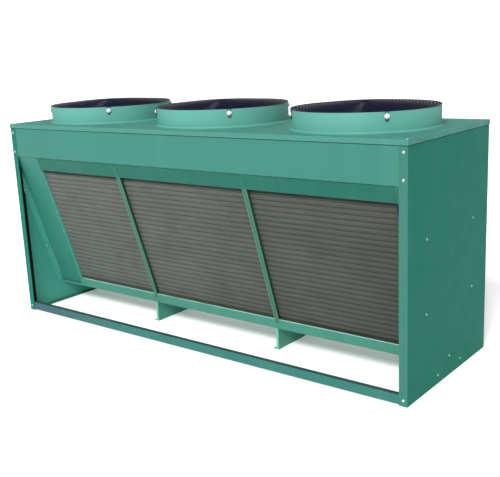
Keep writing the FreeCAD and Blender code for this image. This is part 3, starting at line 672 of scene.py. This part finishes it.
# Shaded copy: painted shade on the dividers' sides.
paint_divider_side_shade = enamel("enamel_divider_side_shade", (38, 62, 50), dust=0.06, streaks=0.04)
# The liner's enamel, with painted shade along its front and rear edges.
paint_liner = enamel("enamel_liner", (64, 150, 134), dust=0.06, streaks=0.03, mottle=0.15,
                     layer=end_slot_shade)
paint_ring = enamel("enamel_ring", (83, 148, 135), dust=0.06, streaks=0.03, rough=0.50,
                    shine=0.15, mottle=0.3)
# Near-black copy: painted shade inside the rings' throats.
paint_throat_shade = enamel("enamel_throat_shade", (20, 38, 38), dust=0.06, streaks=0.04, rough=0.60)
paint_screw = enamel("enamel_screw", (92, 152, 134), dust=0.06, streaks=0.04, wear_and_highlight=0.8)
cavity_shade_inside = cavity_shade("painted_cavity_shade")
bright_zinc = zinc("zinc_bright", (226, 228, 226), rough=0.22, spangle=300.0)
white_zinc = zinc("zinc_white", (250, 250, 250), rough=0.45, spangle=300.0, metal=0.15)
galvanised = zinc("zinc_sheet", (150, 152, 152), rough=0.42, spangle=45.0)
blade_sheet = zinc("blade_sheet", (168, 170, 172), rough=0.36, spangle=8.0)
shaft_steel = zinc("shaft_steel", (190, 190, 190), rough=0.24, spangle=400.0)
wire_coat = dark_wire("guard_wire")
fins = fin_pack("coil_fins")
tube_copper = copper("tube_copper")
rubber = speckled("rubber_black", (20, 20, 20), rough=0.75)
plastic = speckled("plastic_black", (26, 26, 26), rough=0.45)
motor_paint = speckled("motor_grey", (54, 58, 60), rough=0.5, speckle=0.2)
hub_paint = speckled("hub_steel", (60, 62, 64), rough=0.45, metal=0.6)

# Each CAD node's finish, by the start of its name
node_finish = [
    ("end_panel", paint_end_shaded), ("end_liner", paint_liner), ("top_panel", paint_lid),
    ("fascia", paint_front), ("base_rail", paint_rail), ("bottom_tray", paint_tray),
    ("support_leg", paint_leg), ("baffle", paint_inner), ("coil_top_band", paint_band_shaded),
    ("closure_strip", paint_inner), ("divider", paint_divider), ("fin_block", fins),
    ("tube_sheet", galvanised), ("return_bends", tube_copper), ("gas_manifold", tube_copper),
    ("liquid_manifold", tube_copper), ("pipe_grommets", rubber), ("cable_gland", plastic),
    ("venturi_ring", paint_ring), ("fan_guard", wire_coat), ("motor_mount", galvanised),
    ("fan_motor", motor_paint), ("motor_shaft", shaft_steel), ("fan_hub", hub_paint),
    ("fan_blades", blade_sheet), ("guard_bolts", bright_zinc), ("motor_bolts", bright_zinc),
    ("panel_screws", bright_zinc),
]


def finish_nodes():
    """Gives each CAD node its finish, and some of its faces another."""
    for name, obj in nodes.items():
        finish = next(m for start, m in node_finish if name.startswith(start))
        obj.data.materials.clear()
        obj.data.materials.append(finish)
    near_end = half_length - 2 * sheet
    for side, toward in (("left", -1), ("right", 1)):
        # Painted shade of the cavity between each end panel and its liner.
        second_finish(nodes["end_panel_" + side], cavity_shade_inside, lambda place, normal:
                      normal.x * toward < -0.9 and abs(place.x) > near_end)
        second_finish(nodes["end_liner_" + side], cavity_shade_inside, lambda place, normal:
                      normal.x * toward > 0.9)
        # Painted light on the legs' front faces.
        second_finish(nodes["support_leg_" + side], paint_leg_edge_lit, faces_front)
    for side in ("front", "rear"):
        strip = "closure_strip_" + side
        # Painted shade on the base rails' upward faces.
        second_finish(nodes["base_rail_" + side], paint_rail_top_shade, faces_up)
        # Painted light on the left closure strips' faces turned towards +x, which lie in shade.
        second_finish(nodes[strip + "_left"], paint_flap_lit, lambda place, normal: normal.x > 0.5)
        # Painted shade and, below the band, a near-black painted shadow on the right closure
        # strips' front and rear faces.
        second_finish(nodes[strip + "_right"], paint_gap_shadow, lambda place, normal: abs(normal.y) > 0.8)
        for end in ("left", "right"):
            # Painted shade on the dividers' sides.
            second_finish(nodes["divider_" + side + "_" + end], paint_divider_side_shade,
                          lambda place, normal: abs(normal.x) > 0.9)
    # The right end panel's front flange keeps a front tone rather than the end's painted shade.
    second_finish(nodes["end_panel_right"], paint_flange, faces_front)
    # Painted light on the lid's front flange.
    second_finish(nodes["top_panel"], paint_lid_edge_lit, faces_front)


def faces_front(place, normal):
    return normal.y < -0.9


def faces_up(place, normal):
    return normal.z > 0.9


def second_finish(obj, finish, test):
    """Another finish on the faces that a test of their middle and normal picks."""
    obj.data.materials.append(finish)
    for face in obj.data.polygons:
        if test(face.center, face.normal):
            face.material_index = len(obj.data.materials) - 1


# Camera
def make_camera():
    data = bpy.data.cameras.new("camera")
    data.lens = camera_lens
    data.sensor_width = film_width
    obj = link(bpy.data.objects.new("camera", data))
    level = Vector((-sin(camera_turn) * cos(camera_dip), cos(camera_turn) * cos(camera_dip),
                    -sin(camera_dip)))
    right = level.cross(upright(1)).normalized()
    up = right.cross(level)
    turned_right = right * cos(camera_roll) + up * sin(camera_roll)
    turned_up = up * cos(camera_roll) - right * sin(camera_roll)
    turn = Matrix((turned_right, turned_up, -level)).transposed()
    obj.matrix_world = Matrix.Translation(camera_place) @ turn.to_4x4()
    bpy.context.scene.camera = obj


# Light and floor
def make_world():
    """White to the eye all round, and softer light on the object."""
    world = bpy.data.worlds.new("studio")
    world.use_nodes = True
    tree = world.node_tree
    soft = tree.nodes["Background"]
    white = tree.nodes.new("ShaderNodeBackground")
    for background, strength in ((soft, soft_light), (white, white_seen)):
        background.inputs["Color"].default_value = (1.0, 1.0, 1.0, 1.0)
        background.inputs["Strength"].default_value = strength
    seen = tree.nodes.new("ShaderNodeLightPath")
    choice = tree.nodes.new("ShaderNodeMixShader")
    tree.links.new(seen.outputs["Is Camera Ray"], choice.inputs[0])
    tree.links.new(soft.outputs[0], choice.inputs[1])
    tree.links.new(white.outputs[0], choice.inputs[2])
    tree.links.new(choice.outputs[0], tree.nodes["World Output"].inputs["Surface"])
    bpy.context.scene.world = world
    bpy.context.scene.view_settings.view_transform = "Standard"


def make_lamp():
    """Broad lamp from the front, a little to the right and above."""
    key = bpy.data.lights.new("key", "SUN")
    key.energy = sun_strength
    key.angle = sun_spread
    lamp = link(bpy.data.objects.new("key", key))
    toward = Vector((sin(sun_turn) * cos(sun_rise), -cos(sun_turn) * cos(sun_rise), sin(sun_rise)))
    lamp.rotation_euler = toward.to_track_quat("Z", "Y").to_euler()


def make_floor():
    mesh = bpy.data.meshes.new("floor")
    corners = [(sx * floor_reach, sy * floor_reach, 0)
               for sx, sy in ((-1, -1), (1, -1), (1, 1), (-1, 1))]
    mesh.from_pydata(corners, [], [(0, 1, 2, 3)])
    mesh.materials.append(floor_finish("floor_pale"))
    link(bpy.data.objects.new("floor", mesh))


# Guards
def dome(radius, outer, top):
    """Height of the guard's domed wires at a radius."""
    share = (radius - guard_eye) / (outer - guard_eye)
    return rim + (top - rim) * (1 - share * share)


def make_guard(number, x):
    """Round-wire guard: rings over radial wires, and four loops that hook down outside the ring."""
    out = Build()
    outer = ring_outer - sheet / 2
    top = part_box("fan_guard_" + number)[1].z - guard_wire / 2
    radii = [guard_eye + (outer - guard_eye) * i / (guard_rings - 1) for i in range(guard_rings)]
    for r in radii:
        last = r == radii[-1]
        height = dome(r, outer, top) + (guard_wire / 2 if last else 0)
        out.join(wire_ring(r, height, guard_wire * (rim_wire_share if last else 1.0), 120))
    for _, out_dir in spread(guard_spokes):
        path = []
        for i in range(spoke_steps + 1):
            r = guard_eye + (outer - spoke_gap - guard_eye) * i / spoke_steps
            height = max(dome(r, outer, top) - guard_wire * spoke_drop, rim - spoke_sink)
            path.append(out_dir * r + upright(height))
        out.join(wire_path(path, guard_wire))
    low = rim - bolt_drop - washer_radius - leg_tail + leg_half
    high = rim + leg_rise
    for turn, out_dir in spread(4, pi / 4):
        middle = out_dir * (ring_outer + leg_gap + leg_wire / 2)
        side = Vector((-sin(turn), cos(turn), 0)) * leg_half
        path = [middle - side + upright(high)]
        for i in range(leg_steps + 1):
            a = pi + pi * i / leg_steps
            path.append(middle + side * cos(a) + upright(low + leg_half * sin(a)))
        path.append(middle + side + upright(high))
        out.join(wire_path(path, leg_wire))
    piece("guard_" + number, out.shifted(x), wire_coat, ["fan_guard_" + number],
          smooth_below=radians(60))


# Venturi rings
def make_ring(number, x):
    """Spun ring with a smooth flare over its flat foot and a small bead round its rim."""
    low = lid_top
    outer = ring_high.x
    wall_out, wall_in = ring_outer, ring_outer - sheet
    inset = sheet * rim_inset
    quarter = [pi / 2 * i / ring_steps for i in range(ring_steps + 1)]
    profile = [(outer, low), (outer - sheet / 4, low + sheet / 2),
               (outer - sheet, low + sheet * 0.8)]
    profile += [(wall_out + ring_flare * (1 - sin(a)), low + sheet + ring_flare * (1 - cos(a)))
                for a in quarter]
    profile += [(wall_out, rim - rim_bead), (wall_out - inset, rim - rim_flat),
                (wall_in + inset, rim - rim_flat), (wall_in, rim - rim_bead)]
    under = ring_flare + sheet
    profile += [(wall_in + under * (1 - sin(a)), low + under * (1 - cos(a)))
                for a in reversed(quarter)]
    ring = piece("ring_" + number, turned(profile, 180).shifted(x), paint_ring,
                 ["venturi_ring_" + number])
    # Painted shade on the ring's inward faces.
    second_finish(ring, paint_throat_shade, lambda place, normal:
                  normal.x * (place.x - x) + normal.y * place.y < 0)
    second_finish(ring, paint_lid, lambda place, normal:
                  normal.z > 0.9 and place.z < lid_top + 2 * sheet)


# Fasteners
def islands(node):
    """Points of each separate solid of a CAD node, in order of their places."""
    work = bmesh.new()
    work.from_mesh(nodes[node].data)
    bmesh.ops.remove_doubles(work, verts=work.verts, dist=1e-6)
    left = set(work.verts)
    found = []
    while left:
        stack = [left.pop()]
        group = []
        while stack:
            v = stack.pop()
            group.append(v.co.copy())
            for e in v.link_edges:
                other = e.other_vert(v)
                if other in left:
                    left.remove(other)
                    stack.append(other)
        found.append(group)
    work.free()
    return sorted(found, key=lambda group: [round(c, 4) for c in box_of(group)[0]])


def box_of(points):
    low = Vector([min(p[i] for p in points) for i in range(3)])
    high = Vector([max(p[i] for p in points) for i in range(3)])
    return low, high


def hex_head(flats, height, start=0.0):
    """Hexagon head with its corners turned down to a chamfer."""
    r = flats / sqrt(3)
    return lathe([(r, 0), (r, height * head_side), (r * head_chamfer, height)], 6, start)


def sheet_screw(turn):
    """Hexagon washer-head screw."""
    out = lathe([(0.0069, 0), (0.0069, 0.0009), (0.0062, 0.0013)], 20)
    out.join(hex_head(*screw_head, turn).shifted(z=0.0001))
    return out


def make_screws():
    """A screw for each of the CAD's; those outside the end panels are painted over."""
    bare, painted = Build(), Build()
    rnd = random.Random(7)
    for points in islands("panel_screws"):
        low, high = box_of(points)
        size = high - low
        middle = (low + high) / 2
        axis = min(range(3), key=lambda i: size[i])
        inside = axis == 0 and abs(middle.x) < half_length
        direction = Vector((0, 0, 0))
        direction[axis] = 1.0 if middle[axis] > 0 else -1.0
        if inside:
            direction *= -1
        seat = middle - direction * size[axis] / 2
        group = painted if axis == 0 and not inside else bare
        group.join(sheet_screw(rnd.uniform(0, pi / 3)).moved(facing(seat, direction)))
    piece("sheet_screws", bare, bright_zinc, ["panel_screws"],
          smooth_below=radians(30))
    piece("painted_screws", painted, paint_screw, smooth_below=radians(30))


def make_guard_bolts():
    """Washer and hexagon head over each loop of a guard, with the nut inside the ring."""
    out = Build()
    rnd = random.Random(11)
    shank_end, nut_low = -0.016, -0.0127
    for x in fan_places:
        for _, direction in spread(4, pi / 4):
            seat = Vector((x, 0, rim - bolt_drop)) + direction * (ring_outer + bolt_seat)
            bolt = lathe([(washer_radius, 0), (washer_radius, 0.0016),
                          (washer_radius - 0.0006, washer_thick)], 28)
            bolt.join(hex_head(*bolt_head, rnd.uniform(0, pi / 3)).shifted(z=washer_thick))
            bolt.join(lathe([(shank_radius, shank_end), (shank_radius, washer_thick)], 12))
            bolt.join(hex_head(*bolt_nut, 0.3).shifted(z=nut_low))
            out.join(bolt.moved(facing(seat, direction)))
    piece("guard_fixings", out, white_zinc, ["guard_bolts"], smooth_below=radians(30))


def make_motor_bolts():
    """Bolts down through a motor's base and its mount, with nuts below."""
    out = Build()
    rnd = random.Random(5)
    washer_low, washer_top, nut_top, shank_end = 0.008, 0.0096, -0.003, -0.0094
    for (low, _), x in zip(motor_boxes, fan_places):
        for sx in (-1, 1):
            for sy in (-1, 1):
                bolt = hex_head(*bolt_head, rnd.uniform(0, pi / 3)).shifted(z=washer_top)
                bolt.join(lathe([(0.0085, washer_low), (0.0085, washer_top - 0.0003),
                                 (0.0080, washer_top)], 24))
                bolt.join(lathe([(shank_radius, shank_end), (shank_radius, washer_top)], 16))
                nut = hex_head(*bolt_nut, rnd.uniform(0, pi / 3))
                bolt.join(nut.moved(hanging(nut_top)))
                out.join(bolt.shifted(x + sx * (bolt_out - bolt_shift), sy * bolt_out, low.z))
    piece("motor_fixings", out, bright_zinc, ["motor_bolts"], smooth_below=radians(30))


# Fans
def on_blade(radius, chord_share, lift):
    """Point of a blade's arc, a share of half the chord from its middle, lifted off its face."""
    share = (radius - root_radius) / blade_span
    chord = root_chord + (tip_chord - root_chord) * share
    lean = root_pitch + (tip_pitch - root_pitch) * share
    bend = chord * (1 / (8 * blade_camber) + blade_camber / 2)
    t = asin(chord / 2 / bend) * chord_share
    along = bend * sin(t)
    rise = bend * (cos(t) - 1) + lift
    return Vector((radius, along * cos(lean) - rise * sin(lean),
                   along * sin(lean) + rise * cos(lean)))


def curved_plate(radii, shares, thick, drop, trim):
    """Closed plate over a grid of radii and chord shares."""
    out = Build()
    rings = []
    for r in radii:
        low = [trim(on_blade(r, c, -drop), c) for c in shares]
        high = [trim(on_blade(r, c, thick - drop), c) for c in reversed(shares)]
        rings.append(low + high)
    out.loops(rings, caps=True)
    return out


def tip_trim(point, chord_share):
    """Keeps a blade's point inside the fan's circle, with the tip's corners rounded off."""
    corner = max(0.0, (abs(chord_share) - (1 - tip_corner)) / tip_corner)
    cut = tip_round * (1 - sqrt(max(0.0, 1 - corner * corner)))
    limit = sqrt((fan_radius - tip_gap) ** 2 - point.y ** 2) - cut
    reach = (point.x - root_radius) / blade_span
    x = root_radius + (limit - root_radius) * reach if reach > 0 else point.x
    return Vector((x, point.y, point.z))


def make_fan(number, x):
    """Four twisted blades riveted on a spider, whose boss is held on the shaft by two screws."""
    body = "fan_" + number
    shaft_low, shaft_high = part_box("motor_shaft_" + number)
    blades, hub, studs = Build(), Build(), Build()
    radii = [root_radius + blade_span * i / 16 for i in range(17)]
    blade = curved_plate(radii, [-1 + i / 9 for i in range(19)], blade_thick, 0.0, tip_trim)
    arm_start = hub_radius * arm_root
    arm_radii = [arm_start + (arm_reach - arm_start) * i / 12 for i in range(13)]
    arm_shares = [arm_share * (-1 + i / 4) for i in range(9)]
    arm = curved_plate(arm_radii, arm_shares, arm_thick, arm_thick + arm_gap,
                       lambda point, share: point)
    rivet = lathe([(0.0046, 0), (0.0040, 0.0012), (0.0022, 0.0019)], 14)
    for k in range(blade_count):
        turn = Matrix.Rotation(2 * pi * k / blade_count, 4, "Z")
        blades.join(blade.moved(turn))
        hub.join(arm.moved(turn))
        for r in rivet_radii:
            for c in rivet_shares:
                place = on_blade(r, c, blade_thick)
                normal = (place - on_blade(r, c, 0.0)).normalized()
                studs.join(rivet.moved(turn @ facing(place, normal)))
    edge = hub_radius - hub_chamfer
    hub.join(turned([(edge, -hub_half), (hub_radius, -hub_half + hub_chamfer),
                     (hub_radius, hub_half - hub_chamfer), (edge, hub_half), (0.0115, hub_half),
                     (bore_radius, hub_half - 0.002), (bore_radius, -hub_half)], 48))
    screw = lathe([(0.0042, 0), (0.0042, 0.0016), (0.0026, 0.0020)], 14)
    for _, out_dir in spread(4, pi / 4)[:2]:
        seat = out_dir * (hub_radius - 0.0005) + upright(hub_screw_rise)
        studs.join(screw.moved(facing(seat, out_dir)))
    for name, part, finish, slot, replaced in (
            ("blades_", blades, blade_sheet, "blade", ["fan_blades_" + number]),
            ("spider_", hub, hub_paint, "hub", ["fan_hub_" + number]),
            ("rivets_", studs, bright_zinc, "fastener", [])):
        part = part.shifted(x, 0, shaft_high.z - hub_drop)
        piece(name + number, part, finish, replaced, body)
    length = shaft_high.z - shaft_low.z
    shaft = lathe([(shaft_radius, 0), (shaft_radius, length - 0.001),
                   (shaft_radius - 0.0008, length)], 40)
    piece("shaft_" + number, shaft.shifted(x, 0, shaft_low.z), shaft_steel,
          ["motor_shaft_" + number], body)


# Motors
def make_motor(number, x):
    """Round shell with rolled beads and ribs under a domed cap, on a square base flange."""
    low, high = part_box("fan_motor_" + number)
    base, top = low.z, high.z
    neck, cap_round, cap_depth, bead = 0.022, 0.026, 0.040, 0.002
    skin = motor_radius - bead
    profile = [(bore_radius, base + 0.05), (bore_radius, top), (neck - 0.0015, top),
               (neck, top - 0.0015), (neck, top - 0.010), (cap_round, top - 0.0125)]
    for i in range(7):
        a = pi / 2 * i / 6
        profile.append((skin - cap_round * (1 - sin(a)), top - cap_depth + cap_round * cos(a)))
    for height in (top - cap_depth - 2 * bead, base + 0.016):
        profile += [(skin, height + bead), (motor_radius, height),
                    (motor_radius, height - 2 * bead), (skin, height - 3 * bead)]
    profile += [(skin, base + 0.004), (bore_radius, base + 0.004)]
    shell = turned(profile, 72)
    rib = lathe([(rib_radius, 0), (rib_radius, rib_length)], 8)
    for _, out_dir in spread(motor_ribs):
        place = out_dir * (motor_radius - rib_sink)
        shell.join(rib.shifted(place.x, place.y, base + rib_foot))
    corners = []
    reach = motor_half - motor_corner
    for sx, sy, start in ((1, 1, 0), (-1, 1, 1), (-1, -1, 2), (1, -1, 3)):
        for i in range(6):
            a = pi / 2 * (start + i / 5)
            corners.append((sx * reach + motor_corner * cos(a), sy * reach + motor_corner * sin(a)))
    plate = Build()
    plate.loops([[Vector((u * s, v * s, base + z)) for u, v in corners]
                 for s, z in ((0.99, 0), (1.0, 0.001), (1.0, 0.007), (0.99, 0.008))], caps=True)
    shell.join(plate)
    for turn, out_dir in spread(4, pi / 4):
        place = out_dir * cap_screw_out
        head = hex_head(*cap_screw, turn)
        shell.join(head.shifted(place.x, place.y, top - cap_screw_drop))
    piece("motor_" + number, shell.shifted(x), motor_paint, ["fan_motor_" + number],
          smooth_below=radians(40))


# Pipework
def on_slope(x, y, z, side=1):
    """Place of a point given on the front coil, x along it, y into it and z up its face."""
    return Vector((x, side * (-coil_face_y + y * cos(slope) - z * sin(slope)),
                   tray_top + y * sin(slope) + z * cos(slope)))


def tube_z(row):
    return tube_pitch * (row - 0.5)


def row_y(row):
    return coil_recess + row_pitch * (row + 0.5)


def make_bends():
    """Return bends of each circuit, by turns at the right and the left tube sheets."""
    for side, name in ((1, "front"), (-1, "rear")):
        out = Build()
        for first in range(0, tube_rows, circuit_rows):
            last = first + circuit_rows - 1
            for y in (row_y(0), row_y(1)):
                for i in range(first, last):
                    right = (i - first) % 2 == 0
                    join_tubes(out, side, right, (y, tube_z(i)), (y, tube_z(i + 1)))
            join_tubes(out, side, False, (row_y(0), tube_z(last)), (row_y(1), tube_z(last)))
        piece("u_bends_" + name, out, tube_copper, ["return_bends_" + name])


def join_tubes(out, side, right, start, end):
    """Half-round bend out of a tube sheet, from one tube to another."""
    toward, x = (1, sheet_right) if right else (-1, sheet_left)
    middle = [(a + b) / 2 for a, b in zip(start, end)]
    half = [(b - a) / 2 for a, b in zip(start, end)]
    reach = sqrt(half[0] ** 2 + half[1] ** 2)
    path = []
    for i in range(bend_steps + 1):
        a = pi * i / bend_steps
        y, z = (m - h * cos(a) for m, h in zip(middle, half))
        path.append(on_slope(x + toward * reach * sin(a), y, z, side))
    out.join(wire_path(path, 2 * tube_radius))


def make_manifold(name, pipe):
    """Headers with capped ends and feeders, the pipe across and the stub with its rolled bead."""
    radius, x, row, height = pipe
    thick = radius + 2 * tube_wall
    y = row_y(row)
    out = Build()
    starts = [tube_z(i) for i in range(0, tube_rows, circuit_rows)]
    collar = lathe([(tube_radius, 0), (collar_radius, 0.0015), (collar_radius, 0.005),
                    (tube_radius, 0.0075)], 18)
    for side in (1, -1):
        ends = [on_slope(x, y, z, side) for z in (starts[0] - 2 * thick, starts[-1] + 2 * thick)]
        along = ends[1] - ends[0]
        length = along.length
        cap = [(thick * 0.55, 0), (thick * 0.86, cap_height * 0.4), (thick, cap_height)]
        profile = cap + [(r, length - z) for r, z in reversed(cap)]
        out.join(lathe(profile, 32).moved(facing(ends[0], along.normalized())))
        for z in starts:
            feeder = [on_slope(x + thick * feeder_start, y, z, side),
                      on_slope(sheet_left, y, z, side)]
            out.join(wire_path(feeder, 2 * tube_radius, 14))
            seat = on_slope(x + thick - collar_sink, y, z, side)
            out.join(collar.moved(facing(seat, Vector((1, 0, 0)))))
    across = on_slope(x, y, (height - tray_top - y * sin(slope)) / cos(slope))
    out.join(wire_path([across, Vector((x, -across.y, height))], 2 * (radius + tube_wall), 32))
    bead = bead_place - stub_end
    profile = [(radius * 0.60, 0), (radius * 0.88, 0.001), (radius, 0.004),
               (radius, bead - bead_half)]
    for i in range(1, 6):
        a = pi * i / 6
        profile.append((radius + bead_rise * sin(a), bead - bead_half * cos(a)))
    profile += [(radius, bead + bead_half), (radius, x - stub_end)]
    seat = Vector((stub_end, 0, height))
    out.join(lathe(profile, 40).moved(facing(seat, Vector((1, 0, 0)))))
    piece(name, out, tube_copper, [name.split("_")[0] + "_manifold"])


def make_grommets():
    """Round rubber grommets where the two stubs pass the left end panel."""
    out = Build()
    for radius, _, _, height in (gas_pipe, liquid_pipe):
        inner, hole, lip = radius + 0.0002, radius + 0.0029, radius + 0.0079
        face, back = 0.0001, 0.0021
        profile = [(inner, -0.0029), (lip - 0.001, -0.0029), (lip, -0.0019), (lip, -face),
                   (hole, -face), (hole, back), (lip, back), (lip, back + 0.002),
                   (lip - 0.001, back + 0.003), (inner, back + 0.003)]
        seat = Vector((-half_length, 0, height))
        out.join(turned(profile, 48).moved(facing(seat, Vector((1, 0, 0)))))
    piece("grommets", out, rubber, ["pipe_grommets"])


def make_gland():
    """Cable gland with its blanking plug, and its nut behind the left end panel."""
    out = hex_head(gland_flats, 0.008)
    out.join(lathe([(0.0165, 0.0064), (0.0165, 0.009), (0.0120, 0.0105), (0.0120, 0.0148),
                    (0.0108, 0.016)], 32))
    out.join(lathe([(0.0149, -0.0060), (0.0149, 0.0)], 32))
    out.join(hex_head(gland_flats, 0.004, 0.2).shifted(z=-0.006))
    out = out.moved(facing(Vector((-half_length, 0, gland_height)), Vector((-1, 0, 0))))
    piece("gland", out, plastic, ["cable_gland"], smooth_below=radians(30))


finish_nodes()
make_camera()
make_world()
make_lamp()
make_floor()
for number, place in zip(fan_names, fan_places):
    make_guard(number, place)
    make_ring(number, place)
    make_fan(number, place)
    make_motor(number, place)
make_screws()
make_guard_bolts()
make_motor_bolts()
make_bends()
make_manifold("gas_pipes", gas_pipe)
make_manifold("liquid_pipes", liquid_pipe)
make_grommets()
make_gland()
